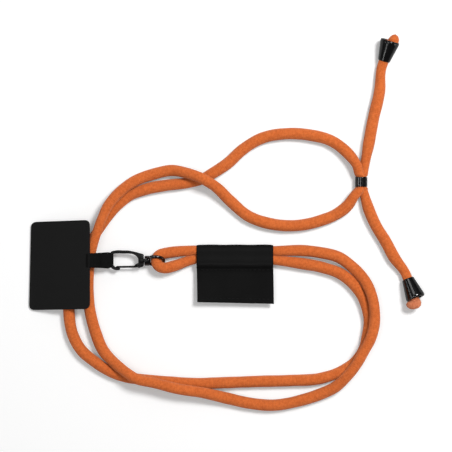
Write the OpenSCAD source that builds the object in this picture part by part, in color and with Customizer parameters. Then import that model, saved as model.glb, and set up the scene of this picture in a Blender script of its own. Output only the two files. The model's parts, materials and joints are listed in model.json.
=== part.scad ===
// Adjustable crossbody phone lanyard: one soft round rope that ends in two bell stoppers,
// crosses itself in a slider ring, passes through a leatherette sleeve and carries a swivel
// hook with a phone pad. It lies flat on the floor z = 0, seen from above (+Z), hook on the left.

/* [Rope] */
// Diameter of the rope where nothing squeezes it
rope_d = 7.5; // [6:0.25:8]
// Sides of the rope's tube
rope_sides = 8; // [8:1:12]

/* [Bell stoppers] */
// Length along the axis
bell_len = 14.7; // [12:0.1:18]
// Outer radius of the wide mouth
bell_mouth_r = 6.6; // [6:0.1:8]
// Outer radius of the narrow end
bell_neck_r = 4.2; // [4:0.1:5]
// Radius of the neck bore that the squeezed rope passes
bell_bore_r = 3.65; // [3.5:0.05:4.2]
// Wall at the mouth
bell_wall = 0.9; // [0.6:0.1:1.4]

/* [Slider ring] */
// Length along its axis
slider_len = 6.8; // [5:0.1:9]
// Bore radius over the two squeezed strands
slider_bore_r = 3.3; // [3.2:0.05:4]
// Wall of the ring
slider_wall = 0.9; // [0.6:0.1:1.5]

/* [Sleeve] */
// Length along the rope
sleeve_len = 52.8; // [40:0.2:66]
// From the folded top edge to the free lower edge
sleeve_h = 40.2; // [30:0.2:50]
// Thickness of the leatherette
sleeve_t = 0.7; // [0.5:0.05:1.2]
// Radius of a strand inside the sleeve
strand_r = 3.45; // [3:0.05:3.75]
// Distance between the two strands in the sleeve
strand_gap = 7; // [6.9:0.1:9]
// Pitch of the stitches
stitch_pitch = 3; // [2:0.1:5]
// Thread diameter
thread_d = 0.5; // [0.3:0.05:0.8]

/* [Phone pad] */
// Width away from the hook
pad_w = 43.8; // [30:0.2:60]
// Height across the neck
pad_h = 61.2; // [45:0.2:80]
// Corner radius
pad_corner_r = 3; // [1:0.1:8]
// Thickness of each skin
skin_t = 0.3; // [0.2:0.05:0.6]
// Height of the pad's neck edge above the floor, where a strand carries it
neck_z = 13.2; // [12:0.1:16]

/* [Strap] */
// Width in the hook
strap_w = 8.8; // [7:0.1:9]
// Width beside the hook
strap_flare_w = 11.2; // [9:0.1:14]
// Width at the pad
strap_neck_w = 9.6; // [8:0.1:12]
// Thickness of one ply
strap_ply = 0.5; // [0.3:0.05:0.8]
// Length sewn in between the pad's skins
strap_tail = 9; // [5:0.5:15]

/* [Hook] */
// From the strap bar's axis to the swivel face
hook_len = 22.7; // [20:0.1:30]
// From the swivel axis up to the back's outer edge
hook_up = 7.2; // [6.9:0.1:9]
// From the swivel axis down to the hinge end's outer edge
hook_down = 5.4; // [5.2:0.1:7]
// Thickness of the frame
hook_t = 3; // [2:0.1:4]
// Width of the back
back_w = 2.2; // [1.6:0.1:3]
// Radius of the strap bar
strap_bar_r = 1.1; // [0.8:0.05:1.4]
// Width of the gate
gate_w = 1.3; // [1:0.1:1.8]
// Height of the gate
gate_t = 1.9; // [1.4:0.1:2.4]
// Radius of the gate's hinge pin
gate_pin_r = 0.6; // [0.4:0.05:0.8]

/* [Swivel eye] */
// Radius of the stud's shank
stud_r = 1.2; // [0.9:0.05:1.4]
// Bore radius of the ring that the rope threads
eye_bore_r = 4.2; // [4:0.1:5]
// Diameter of the ring's rod
eye_rod_d = 2.2; // [1.8:0.1:2.4]
// Lean of the ring's plane from the floor, degrees
eye_lean = 58; // [52:1:64]

/* [Fits] */
// Radial clearance of pins and shanks that turn
running_fit = 0.05; // [0.02:0.01:0.1]
// Clearance between the rope and what slides on it
soft_fit = 0.1; // [0.05:0.01:0.2]
// Clearance between faces that slide on each other
face_fit = 0.1; // [0.05:0.01:0.2]

/* [Hidden] */
$fn = 48;

// The rope's centre line, [x, y, z, share of its full radius], from knot a to knot b.
// It rests on the floor, and lifts where one stretch crosses or lies on another.
ROUTE = [
    // out of bell a, down to the slider ring
    [110.3, 84.9, 5.6, 0.7], [108, 77.4, 4.07, 0.92], [106.85, 73.65, 3.4, 0.9],
    [105.3, 56.8, 3.75, 1], [101, 38, 3.75, 1], [97.6, 19.5, 3.75, 1],
    [95.9, 10.5, 3.4, 0.9], [94.8, 5, 3, 0.72],
    // half a turn round the other strand inside the ring
    [93.8, -0.5, 3, 0.4], [92.6, -3, 2.5, 0.4], [91.4, -5.5, 3, 0.4], [90.9, -8, 4.2, 0.4],
    [91.2, -10.5, 5.4, 0.4], [87.8, -15, 6.4, 0.77], [83, -22, 4.8, 1],
    // lower arc of the neck loop
    [75.3, -27.8, 3.75, 1], [65.6, -31.8, 3.75, 1], [50, -35.4, 3.75, 1], [30.6, -34.5, 3.75, 1],
    [15, -29.2, 3.75, 1], [2, -18.4, 4, 1],
    // over the upper strand
    [-7.5, -9.2, 7.4, 0.97], [-16.8, -3.5, 11.2, 0.96], [-27.5, 0.4, 8.7, 0.96],
    [-38, 2.4, 4.8, 1], [-51, -0.2, 4.4, 1], [-64, -5.2, 6.7, 0.97], [-75, -13.7, 8.6, 0.95],
    // down the left side, over its twin and then under the pad
    [-81.8, -22.2, 9.8, 0.93], [-86.2, -31.7, 10.4, 0.91], [-89.2, -40, 10.6, 0.9],
    [-91.8, -47.6, 9.9, 0.9], [-93.8, -55.2, 7.9, 0.92], [-95.3, -63.4, 4.8, 1],
    [-96, -76, 3.75, 1], [-95, -92, 3.75, 1], [-91, -108.5, 3.75, 1], [-85.1, -122.3, 4.2, 1],
    // along the bottom, lying on its twin at the left
    [-77, -130.6, 6.6, 0.97], [-70.5, -135.5, 9.6, 0.94], [-62.5, -140.6, 11, 0.95],
    [-50.3, -143.4, 11, 0.95], [-33, -147.8, 10.4, 0.96], [-16.5, -150.5, 8.6, 0.98],
    [0, -154.7, 4.6, 1], [16, -158.3, 3.75, 1], [32, -159.6, 3.75, 1], [50, -156.5, 3.75, 1],
    [64.8, -151.7, 4.2, 1], [74.5, -146.8, 6.4, 1],
    // up the right side, lying on its twin
    [82.3, -139.2, 9.6, 0.96], [89, -130.5, 10.9, 0.96], [94, -121.8, 10.9, 0.96],
    [98.4, -113.5, 10.9, 0.96], [100.9, -105, 10.5, 0.96], [101.4, -95, 10.1, 0.96],
    [100.2, -86.5, 9.7, 0.96], [97.6, -78.6, 8.1, 0.98], [93, -71, 5.2, 1],
    [86.5, -64.2, 3.75, 1], [77.5, -57.7, 3.75, 1], [64, -54.2, 3.75, 1], [50, -52.8, 3.75, 1],
    // through the sleeve, round the swivel eye and back through the sleeve
    [38, -53, 4.25, 0.92], [-27, -53, 4.25, 0.92], [-36.5, -53.8, 3.9, 0.98],
    [-43.5, -54.9, 3.9, 0.98], [-46.1, -55.6, 4.2, 0.98], [-48, -57.4, 4.8, 0.98],
    [-48.7, -59.8, 5.7, 0.98],
    [-48, -62.2, 6.6, 0.98], [-46.1, -64, 7.2, 0.98], [-43.5, -64.7, 7.5, 0.98],
    [-36.5, -63.4, 6, 0.98], [-27, -60, 4.25, 0.92], [38, -60, 4.25, 0.92],
    // down the right side, underneath
    [50, -61.6, 3.75, 1], [66.2, -64.6, 3.75, 1], [78.7, -69.1, 3.75, 1], [87.5, -76.2, 3.75, 1],
    [93.3, -84, 3.75, 1], [96.8, -93, 3.75, 1], [98, -102, 3.6, 0.96], [96.7, -111.4, 3.6, 0.96],
    [94.6, -120.5, 3.6, 0.96], [89.3, -128.8, 3.6, 0.96], [79.5, -135.8, 3.6, 0.96],
    // along the bottom, underneath
    [65, -141, 3.75, 1], [44, -142.6, 3.75, 1], [22, -143.2, 3.75, 1], [0, -144, 3.75, 1],
    [-20, -144.5, 3.6, 0.96], [-40, -143.4, 3.6, 0.96], [-56, -142, 3.6, 0.96],
    [-70, -140.2, 3.6, 0.96], [-81, -136.2, 3.6, 0.96],
    // up the left side and under the pad
    [-91, -129.8, 3.75, 1], [-100.6, -121.5, 3.75, 1], [-106.6, -110.5, 3.75, 1], [-109, -97, 3.75, 1],
    [-108.6, -82, 3.75, 1], [-106, -68, 3.75, 1], [-101.5, -56.3, 3.75, 1],
    [-96.5, -48.8, 3.5, 0.93], [-91.2, -42.2, 3.4, 0.9], [-86.5, -35.5, 3.4, 0.9],
    [-81, -28, 3.4, 0.9], [-74, -20.4, 3.5, 0.93], [-66.5, -14.6, 3.6, 0.95],
    // under the crossing and round the upper arc of the neck loop
    [-56, -10.5, 3.75, 1], [-42, -7.8, 3.75, 1], [-28, -6.2, 3.6, 0.96], [-17.8, -3.7, 3.6, 0.96],
    [-8.5, 1.4, 3.75, 1], [0.5, 7.4, 3.75, 1], [11.2, 17.2, 3.75, 1], [24.2, 24.8, 3.75, 1],
    [40.5, 27.8, 3.75, 1], [57, 26.9, 3.75, 1], [71.9, 22.9, 3.75, 1], [83, 14.6, 4.6, 1],
    [89.6, 5.5, 6.5, 0.77],
    // the other half turn inside the slider ring, and down to bell b
    [91.4, -0.5, 5.4, 0.4], [92.6, -3, 5.9, 0.4], [93.8, -5.5, 5.4, 0.4], [94.3, -8, 4.2, 0.4],
    [93.9, -10.5, 3, 0.4], [95.2, -15.5, 3.2, 0.77],
    [97.8, -24.2, 3.75, 1], [103, -36, 3.75, 1], [109.3, -46.3, 3.75, 1], [115.4, -57.6, 3.75, 1],
    [123.3, -68.75, 3.4, 0.9], [124.75, -72.4, 4.07, 0.92], [127.65, -79.7, 5.6, 0.7]
];

// Bell stoppers lie on the floor along a straight side of their cone
bell_a_at = [108, 77.4];
bell_a_heading = 73;
bell_b_at = [124.75, -72.4];
bell_b_heading = -68.4;
bell_rim = 2;
bell_land = 1.4;
bell_lip = 0.3;
bell_slope = (bell_mouth_r - bell_neck_r) / (bell_len - bell_rim - bell_lip);
bell_lean = atan(bell_slope);
bell_inner_r = bell_mouth_r - bell_wall - 0.4;
knot_r = bell_inner_r - 0.4;
// Each knot ends the rope, the mouth seats on the knot, and the neck is a bell's length down the rope
rope_in_bell = 8;
knot_depth = rope_in_bell + 3.2;
mouth_depth = knot_depth + 3.5;
neck_depth = mouth_depth - bell_len;
bell_axis_z = (bell_neck_r - bell_slope * (bell_lip + neck_depth)) * cos(bell_lean);

// Slider ring stands on the floor
slider_r = slider_bore_r + slider_wall;
slider_at = [92.6, -5.5, slider_r];

// Sleeve: the lowest layer lies on the floor, the strands lie side by side in the tunnel
sleeve_x = 5.7;
upper_strand_y = -53;
tunnel_r = strand_r + soft_fit;
lower_strand_y = upper_strand_y - strand_gap;
sleeve_top_y = upper_strand_y + tunnel_r + sleeve_t;
strand_z = sleeve_t + tunnel_r;
flap_t = 2 * sleeve_t;
flap_y = sleeve_top_y - sleeve_h;
tunnel_seam_y = lower_strand_y - tunnel_r - 1.6;
hem_seam_y = flap_y + 3;

// Swivel axis and hook: hook-local x runs from the swivel face (0) to the strap bar (-hook_len)
hook_at = [-57.2, -59.8, 5.7];
window_top = hook_up - back_w;
window_bottom = -3.7;
window_r = (window_top - window_bottom) / 2;
end_wall = 4.2;
boss_r = 2.7;
boss_len = end_wall - 0.4;
bar_seat = strap_bar_r + 0.1;
stud_head_r = 1.9;
stud_head_t = 1.1;
washer_t = 0.45;
head_depth = 1.9;
pivot = [-3.5, -3.7];
lug_r = 1.65;
lug_t = 5;
gate_y = -4.3;
gate_eye_r = 1.3;
gate_reach = 15.2;
spring_t = 0.6;
nose_w = 1.8;
eye_gap = 0.4;
base_r = 3.4;
base_len = 3.4;
eye_ring_r = eye_bore_r + eye_rod_d / 2;
eye_x = eye_gap + base_len - 0.6 + eye_bore_r + 1;
stud_tail = eye_gap + base_len - 1;

// Strap and pad: the pad slopes from its neck edge down to the floor
core_t = 2 * strap_ply;
pad_t = core_t + 2 * skin_t;
pad_lean = asin(neck_z / pad_w);
pad_yaw = 0.5;
neck_x = -93.4;
pad_y = -62.1;
strap_y = hook_at[1] + window_top - strap_w / 2 - 2 * face_fit;
bar_x = hook_at[0] - hook_len;
loop_in_r = strap_bar_r + soft_fit;
loop_r = loop_in_r + strap_ply;
strap_bend_x = neck_x + 0.7;
strap_bend_z = neck_z + pad_t / 2 * cos(pad_lean);
strap_rise = strap_bend_z - hook_at[2];
strap_run = bar_x - strap_bend_x;
strap_pitch = atan2(strap_rise, strap_run);
strap_len = norm([strap_rise, strap_run]);

// ---------------------------------------------------------------- rope

function unit(v) = v / norm(v);
function place(i) = [ROUTE[i][0], ROUTE[i][1], ROUTE[i][2]];
function heading(i) = unit(place(min(i + 1, len(ROUTE) - 1)) - place(max(i - 1, 0)));
function side(i) = unit(cross([0, 0, 1], heading(i)));
function ring(i) =
    let (across = side(i), up = cross(heading(i), across), r = ROUTE[i][3] * rope_d / 2)
    [for (k = [0:rope_sides - 1])
        let (a = (k + 0.5) * 360 / rope_sides)
        place(i) + r * (cos(a) * across + sin(a) * up)];

// One closed tube swept along the route
module rope() {
    n = rope_sides;
    last = len(ROUTE) - 1;
    skin = [for (i = [0:last - 1], k = [0:n - 1])
        [i * n + k, i * n + (k + 1) % n, (i + 1) * n + (k + 1) % n, (i + 1) * n + k]];
    first_cap = [for (k = [0:n - 1]) n - 1 - k];
    last_cap = [for (k = [0:n - 1]) last * n + k];
    color("coral")
        polyhedron([for (i = [0:last]) each ring(i)], concat(skin, [first_cap, last_cap]), 10);
}

// ---------------------------------------------------------------- bell stoppers and knots

module along_bell(at, turn) {
    translate([at[0], at[1], bell_axis_z])
        rotate([0, 90 - bell_lean, turn]) children();
}

module bell() {
    color("#151515") translate([0, 0, neck_depth]) rotate_extrude($fn = 64) polygon([
        [bell_bore_r, 0], [bell_neck_r - bell_lip, 0], [bell_neck_r, bell_lip],
        [bell_mouth_r, bell_len - bell_rim],
        [bell_mouth_r - 0.1, bell_len - bell_rim + 0.9],
        [bell_mouth_r - 0.6, bell_len - 0.3],
        [bell_inner_r + 0.3, bell_len], [bell_inner_r, bell_len - 0.3],
        [bell_inner_r, bell_len - 4.2], [bell_bore_r, bell_land]
    ]);
}

// A tight knot of rope in the mouth, with its end standing out of it
module end_knot(tip_r, tip_out) {
    color("coral") {
        translate([0, 0, knot_depth]) sphere(knot_r);
        translate([0, 0, mouth_depth + tip_out - tip_r]) sphere(tip_r);
    }
}

module bell_a() { along_bell(bell_a_at, bell_a_heading) bell(); }
module bell_b() { along_bell(bell_b_at, bell_b_heading) bell(); }
module end_knot_a() { along_bell(bell_a_at, bell_a_heading) end_knot(2.8, 3.5); }
module end_knot_b() { along_bell(bell_b_at, bell_b_heading) end_knot(knot_r - 0.3, 4.4); }

// ---------------------------------------------------------------- slider ring

module slider_ring() {
    color("#101010") translate(slider_at) rotate([90, 0, 0])
        rotate_extrude($fn = 64) polygon([
            [slider_bore_r, -slider_len / 2 + 0.3], [slider_bore_r + 0.3, -slider_len / 2],
            [slider_r - 0.3, -slider_len / 2], [slider_r, -slider_len / 2 + 0.3],
            [slider_r, slider_len / 2 - 0.3], [slider_r - 0.3, slider_len / 2],
            [slider_bore_r + 0.3, slider_len / 2], [slider_bore_r, slider_len / 2 - 0.3]
        ]);
}

// ---------------------------------------------------------------- sleeve

// Stands a profile drawn in (y, z) up along x, centred on the sleeve
module along_sleeve(length) {
    translate([sleeve_x - length / 2, 0, 0])
        rotate([90, 0, 90]) linear_extrude(length) children();
}

// Two strands side by side, as one round-ended outline
module strands_outline(r) {
    for (y = [upper_strand_y, lower_strand_y]) translate([y, strand_z]) circle(r);
    translate([lower_strand_y, strand_z - r]) square([strand_gap, 2 * r]);
}

module sleeve_wrap() {
    color("#1c1c1c") along_sleeve(sleeve_len) difference() {
        union() {
            strands_outline(tunnel_r + sleeve_t);
            translate([flap_y, 0]) square([lower_strand_y - flap_y, flap_t]);
            polygon([
                [lower_strand_y, 0], [lower_strand_y, 2 * tunnel_r],
                [lower_strand_y - tunnel_r * 0.75, strand_z + tunnel_r * 0.66],
                [tunnel_seam_y, flap_t], [tunnel_seam_y, 0]
            ]);
        }
        strands_outline(tunnel_r);
    }
}

module stitch_row(y) {
    stitch_len = stitch_pitch * 0.7;
    count = floor((sleeve_len - 3) / stitch_pitch);
    for (i = [0:count - 1])
        translate([sleeve_x + (i - (count - 1) / 2) * stitch_pitch, y, flap_t + thread_d / 2])
            rotate([0, 90, 0]) cylinder(h = stitch_len, d = thread_d, center = true, $fn = 16);
}

module sleeve_tunnel_stitches() { color("#202020") stitch_row(tunnel_seam_y - thread_d); }
module sleeve_hem_stitches() { color("#202020") stitch_row(hem_seam_y); }

// ---------------------------------------------------------------- phone pad

// Pad-local: x = 0 at the neck edge, x = -pad_w at the far edge, z = 0 on the lower face
module on_pad() {
    translate([neck_x, pad_y, neck_z]) rotate([0, 0, pad_yaw]) rotate([0, -pad_lean, 0])
        children();
}

module pad_outline() {
    r = pad_corner_r;
    translate([-pad_w, -pad_h / 2 + r]) square([pad_w, pad_h - 2 * r]);
    translate([-pad_w + r, -pad_h / 2]) square([pad_w - 2 * r, pad_h]);
    for (x = [-pad_w + r, -r], y = [-pad_h / 2 + r, pad_h / 2 - r]) translate([x, y]) circle(r);
}

module pad_layer(low, thickness) {
    on_pad() translate([0, 0, low]) linear_extrude(thickness) pad_outline();
}

module pad_bottom_skin() { color("#1b1b1b") pad_layer(0, skin_t); }
module pad_top_skin() { color("#1b1b1b") pad_layer(skin_t + core_t, skin_t); }

// Stiffener between the skins, cut out for the strap's tail
module pad_core() {
    color("#303030") difference() {
        pad_layer(skin_t, core_t);
        on_pad() translate([-strap_tail - soft_fit, strap_y - pad_y - strap_neck_w / 2 - soft_fit, 0])
            cube([strap_tail + 1, strap_neck_w + 2 * soft_fit, pad_t]);
    }
}

// Two plies that loop round the hook's strap bar and end between the pad's skins
module hook_strap() {
    flare_at = loop_r + 1;
    color("#181818") {
        translate([bar_x, strap_y, hook_at[2]]) rotate([0, strap_pitch, 0]) {
            rotate([90, 0, 0]) linear_extrude(strap_w, center = true) difference() {
                union() {
                    circle(loop_r);
                    polygon([
                        [0, loop_r], [-flare_at, strap_ply], [-flare_at, -strap_ply], [0, -loop_r]
                    ]);
                }
                circle(loop_in_r);
            }
            translate([0, 0, -strap_ply]) linear_extrude(core_t) polygon([
                [-loop_r, strap_w / 2], [-flare_at, strap_flare_w / 2],
                [-strap_len * 0.75, strap_neck_w / 2], [-strap_len, strap_neck_w / 2],
                [-strap_len, -strap_neck_w / 2], [-strap_len * 0.75, -strap_neck_w / 2],
                [-flare_at, -strap_flare_w / 2], [-loop_r, -strap_w / 2]
            ]);
        }
        on_pad() translate([-strap_tail, strap_y - pad_y - strap_neck_w / 2, skin_t])
            cube([strap_tail + 0.9, strap_neck_w, core_t]);
    }
}

// ---------------------------------------------------------------- hook

module at_hook() { translate(hook_at) children(); }

// A straight round-ended bar between two points
module bar(a, b, w) {
    run = b - a;
    translate(a) circle(d = w);
    translate(b) circle(d = w);
    translate(a) rotate(atan2(run[1], run[0])) translate([0, -w / 2]) square([norm(run), w]);
}

module frame_outline() {
    difference() {
        polygon([
            [-hook_len - bar_seat, hook_up - 1.2], [-hook_len - bar_seat + 0.3, hook_up - 0.8],
            [-hook_len, hook_up - 0.6], [-hook_len * 0.8, hook_up - 0.1],
            [-hook_len * 0.58, hook_up], [-hook_len * 0.35, hook_up - 0.3],
            [-hook_len * 0.18, hook_up - 1.1], [-2, hook_up - 2], [-0.6, hook_up - 3.2],
            [0, hook_up - 4.8], [0, 0.8 - hook_down], [-0.8, -hook_down], [-5.2, -hook_down],
            [-end_wall - 2.4, window_bottom], [-hook_len - bar_seat, window_bottom]
        ]);
        translate([-end_wall - window_r, (window_top + window_bottom) / 2]) circle(window_r);
        translate([-hook_len - 2, window_bottom - 1])
            square([hook_len + 2 - end_wall - window_r, window_top - window_bottom + 1]);
    }
    // the beak that the gate's tip closes against, with the strap bar's lower seat
    polygon([
        [-hook_len - bar_seat, gate_y - 0.15], [-hook_len + bar_seat, gate_y - 0.15],
        [-hook_len + 5.8, gate_y - 1.2], [-hook_len + 6.7, gate_y - 1.8],
        [-hook_len + 6.7, gate_y - 2.5], [-hook_len + 6, gate_y - 1.2 - nose_w],
        [-hook_len + bar_seat, gate_y - 2.3], [-hook_len - bar_seat, gate_y - 2.3]
    ]);
}

module hook_frame() {
    color("#1d1d1d") at_hook() difference() {
        union() {
            translate([0, 0, -hook_t / 2]) linear_extrude(hook_t) frame_outline();
            translate([-boss_len, 0, 0]) rotate([0, 90, 0]) cylinder(h = boss_len, r = boss_r);
            translate([pivot[0], pivot[1], -lug_t / 2]) cylinder(h = lug_t, r = lug_r);
            translate([-hook_len, gate_y - 1.2, 0]) rotate([-90, 0, 0])
                cylinder(h = window_top + back_w * 0.4 - gate_y + 1.2, r = strap_bar_r);
        }
        translate([-end_wall - 1, 0, 0]) rotate([0, 90, 0])
            cylinder(h = end_wall + 2, r = stud_r + running_fit);
        translate([-end_wall - 1, 0, 0]) rotate([0, 90, 0])
            cylinder(h = head_depth + 1, r = stud_head_r + face_fit);
        translate([pivot[0], pivot[1], -lug_t]) cylinder(h = 2 * lug_t, r = gate_pin_r);
        translate([pivot[0] - 8, pivot[1] - 4, -gate_t / 2 - face_fit])
            cube([8 + gate_eye_r + face_fit, 4 + gate_eye_r + face_fit, gate_t + 2 * face_fit]);
    }
}

module hook_gate() {
    eye_t = gate_t - spring_t - face_fit;
    color("#222222") at_hook() difference() {
        union() {
            translate([pivot[0], pivot[1], -gate_t / 2]) cylinder(h = eye_t, r = gate_eye_r);
            translate([0, 0, -gate_t / 2]) linear_extrude(eye_t)
                bar([pivot[0] - 0.6, gate_y + 0.2], [pivot[0] - 5, gate_y + 0.15], gate_w - 0.3);
            translate([0, 0, -gate_t / 2]) linear_extrude(gate_t)
                bar([pivot[0] - 3.4, gate_y + 0.16], [pivot[0] - gate_reach, gate_y], gate_w);
        }
        translate([pivot[0], pivot[1], -gate_t])
            cylinder(h = 2 * gate_t, r = gate_pin_r + running_fit);
    }
}

module gate_pin() {
    color("#8a8d90") at_hook() translate([pivot[0], pivot[1], -lug_t / 2])
        cylinder(h = lug_t, r = gate_pin_r);
}

// Flat torsion coil round the pin, with one leg against the frame
module gate_spring() {
    color("#9a9da0") at_hook() translate([pivot[0], pivot[1], gate_t / 2 - spring_t]) difference() {
        union() {
            cylinder(h = spring_t, r = gate_pin_r + 0.5);
            translate([gate_pin_r, -0.2, 0]) cube([gate_eye_r - gate_pin_r, 0.4, spring_t]);
        }
        translate([0, 0, -1]) cylinder(h = spring_t + 2, r = gate_pin_r + running_fit);
    }
}

// ---------------------------------------------------------------- swivel

module swivel_stud() {
    color("#202020") at_hook() {
        translate([-end_wall + 0.3, 0, 0]) rotate([0, 90, 0])
            cylinder(h = stud_head_t, r = stud_head_r);
        translate([-end_wall + 0.3, 0, 0]) rotate([0, 90, 0])
            cylinder(h = end_wall - 0.3 + stud_tail, r = stud_r);
    }
}

module swivel_washer() {
    color("#a0a3a6") at_hook() translate([-end_wall + 0.3 + stud_head_t, 0, 0]) rotate([0, 90, 0])
        difference() {
            cylinder(h = washer_t, r = stud_head_r - 0.1);
            translate([0, 0, -1]) cylinder(h = washer_t + 2, r = stud_r + running_fit);
        }
}

// A round base with the leaning ring that the rope's bight passes through
module swivel_eye() {
    color("#141414") at_hook() difference() {
        union() {
            translate([eye_gap, 0, 0]) rotate([0, 90, 0]) rotate_extrude($fn = 64) polygon([
                [0, 0], [base_r - 0.4, 0], [base_r, 0.4], [base_r, 1.6],
                [base_r - 0.8, base_len - 0.4], [base_r - 1.4, base_len], [0, base_len]
            ]);
            translate([eye_x, 0, 0]) rotate([eye_lean, 0, 0])
                rotate_extrude($fn = 64) translate([eye_ring_r, 0]) circle(d = eye_rod_d, $fn = 32);
        }
        rotate([0, 90, 0]) cylinder(h = stud_tail, r = stud_r);
    }
}

rope();
end_knot_a();
end_knot_b();
bell_a();
bell_b();
slider_ring();
sleeve_wrap();
sleeve_tunnel_stitches();
sleeve_hem_stitches();
pad_top_skin();
pad_core();
pad_bottom_skin();
hook_strap();
hook_frame();
hook_gate();
gate_pin();
gate_spring();
swivel_stud();
swivel_washer();
swivel_eye();
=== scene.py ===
"""A crossbody phone lanyard on a white table: a soft orange rope, its black fittings, a sleeve and a pad."""

import json

import bpy
import numpy as np
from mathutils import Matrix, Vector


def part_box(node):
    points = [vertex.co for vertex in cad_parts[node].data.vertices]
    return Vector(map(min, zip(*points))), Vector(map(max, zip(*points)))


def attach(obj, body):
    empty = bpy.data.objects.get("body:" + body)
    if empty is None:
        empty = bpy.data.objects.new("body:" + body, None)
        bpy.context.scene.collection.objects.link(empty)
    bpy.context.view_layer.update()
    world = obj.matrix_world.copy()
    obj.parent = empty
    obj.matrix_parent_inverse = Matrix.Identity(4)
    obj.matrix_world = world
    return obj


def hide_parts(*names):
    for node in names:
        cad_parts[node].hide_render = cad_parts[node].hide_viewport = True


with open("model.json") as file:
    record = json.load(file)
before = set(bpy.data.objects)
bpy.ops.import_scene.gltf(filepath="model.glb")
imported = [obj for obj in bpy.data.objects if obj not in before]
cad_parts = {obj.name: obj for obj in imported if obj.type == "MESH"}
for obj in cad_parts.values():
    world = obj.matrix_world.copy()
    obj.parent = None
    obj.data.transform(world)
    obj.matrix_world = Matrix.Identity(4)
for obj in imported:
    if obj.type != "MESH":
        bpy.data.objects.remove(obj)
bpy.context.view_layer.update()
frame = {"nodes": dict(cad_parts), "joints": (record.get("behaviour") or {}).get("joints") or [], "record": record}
joints = {joint["name"]: joint for joint in frame["joints"]}

# ------------------------ camera, table and lamps
# The lanyard lies on a white table under a camera that looks straight down. A soft box high at
# the upper right throws short shadows to the lower left, and a weaker panel at the left fills them.
# Four more boxes light nothing, and only draw the pale bands that glossy plastic shows.

view_width = 0.3117
view_centre = (-0.0007, -0.0359)
focus_height = 0.005

camera = bpy.data.objects.new("camera", bpy.data.cameras.new("camera"))
camera.data.sensor_width = 36
camera.data.lens = 130
camera.location = (*view_centre, focus_height + view_width * camera.data.lens / camera.data.sensor_width)
bpy.context.scene.collection.objects.link(camera)
bpy.context.scene.camera = camera
bpy.context.scene.view_settings.view_transform = "Standard"


def soft_box(name, place, width, height, watts, only_mirrored=False):
    """A rectangular area lamp that faces the middle of the table. One that is only mirrored is seen in
    gloss and lights nothing else."""
    lamp = bpy.data.lights.new(name, "AREA")
    lamp.shape = "RECTANGLE"
    lamp.size, lamp.size_y = width, height
    lamp.energy = watts
    box = bpy.data.objects.new(name, lamp)
    box.location = place
    box.rotation_euler = (-box.location).to_track_quat("-Z", "Y").to_euler()
    box.visible_diffuse = not only_mirrored
    bpy.context.scene.collection.objects.link(box)


soft_box("key_box", (0.52, 0.44, 1.15), 0.34, 0.34, 13.2)
soft_box("overhead_panel", (-0.48, -0.15, 1.60), 0.50, 0.50, 3.2)
soft_box("north_panel", (-0.40, 1.02, 1.10), 0.62, 0.50, 4.2, only_mirrored=True)
soft_box("south_panel", (-0.90, -0.80, 1.05), 0.30, 0.50, 3.0, only_mirrored=True)
soft_box("left_box", (-0.95, 0.10, 0.62), 0.22, 0.22, 1.0, only_mirrored=True)
soft_box("right_box", (1.10, -0.25, 0.30), 0.30, 0.30, 1.2, only_mirrored=True)


def node(tree, kind, feeds=(), **settings):
    """A shader node. Each feed names an input and gives it a constant or another node's output."""
    made = tree.nodes.new("ShaderNode" + kind)
    for name, value in settings.items():
        setattr(made, name, value)
    for name, value in dict(feeds).items():
        if isinstance(value, bpy.types.NodeSocket):
            tree.links.new(value, made.inputs[name])
        else:
            made.inputs[name].default_value = value
    return made


def maths(tree, operation, *values):
    """The output of one Math node fed with those values."""
    return node(tree, "Math", enumerate(values), operation=operation).outputs[0]


def blended(tree, share, first, second):
    """A colour that goes from the first to the second as share goes from 0 to 1."""
    mix = node(tree, "Mix", data_type="RGBA")
    for socket, value in zip((mix.inputs[0], mix.inputs[6], mix.inputs[7]), (share, first, second)):
        if isinstance(value, bpy.types.NodeSocket):
            tree.links.new(value, socket)
        else:
            socket.default_value = value
    return mix.outputs[2]


def noise(tree, place, scale, detail=2, rough=0.5):
    """Smooth noise from 0 to 1, about scale waves to the metre."""
    feeds = {"Vector": place, "Scale": scale, "Detail": detail, "Roughness": rough}
    return node(tree, "TexNoise", feeds).outputs[0]


def grey(level):
    """An opaque neutral colour."""
    return level, level, level, 1


def finish_of(name, feeds):
    """A new material with one Principled shader. Returns the material, its tree and the shader."""
    made = bpy.data.materials.new(name)
    made.use_nodes = True
    tree = made.node_tree
    shader = tree.nodes["Principled BSDF"]
    for socket, value in feeds.items():
        shader.inputs[socket].default_value = value
    return made, tree, shader


def looked_at(tree):
    """The Light Path node, and a value that is 1 where the camera sees the surface itself."""
    path = node(tree, "LightPath")
    return path, maths(tree, "MAXIMUM", path.outputs["Is Camera Ray"], path.outputs["Is Transmission Ray"])


def bumped(tree, shader, strength, distance, height):
    """Gives a shader relief that stands distance metres high where the height is 1."""
    bump = node(tree, "Bump", {"Strength": strength, "Distance": distance, "Height": height})
    tree.links.new(bump.outputs[0], shader.inputs["Normal"])


world = bpy.data.worlds.new("studio")
bpy.context.scene.world = world
world.use_nodes = True
tree = world.node_tree
tree.nodes.clear()
path, seen = looked_at(tree)
# White where it is looked at, a soft fill light elsewhere, and nearly dark where it is mirrored
fill_level, mirrored_loss = 0.27, 0.20
level = maths(tree, "SUBTRACT",
              maths(tree, "ADD", maths(tree, "MULTIPLY", seen, 1 - fill_level), fill_level),
              maths(tree, "MULTIPLY", path.outputs["Is Glossy Ray"], mirrored_loss))
sky = node(tree, "Background", {"Color": (1, 1, 1, 1), "Strength": level})
node(tree, "OutputWorld", {"Surface": sky.outputs[0]})

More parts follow.
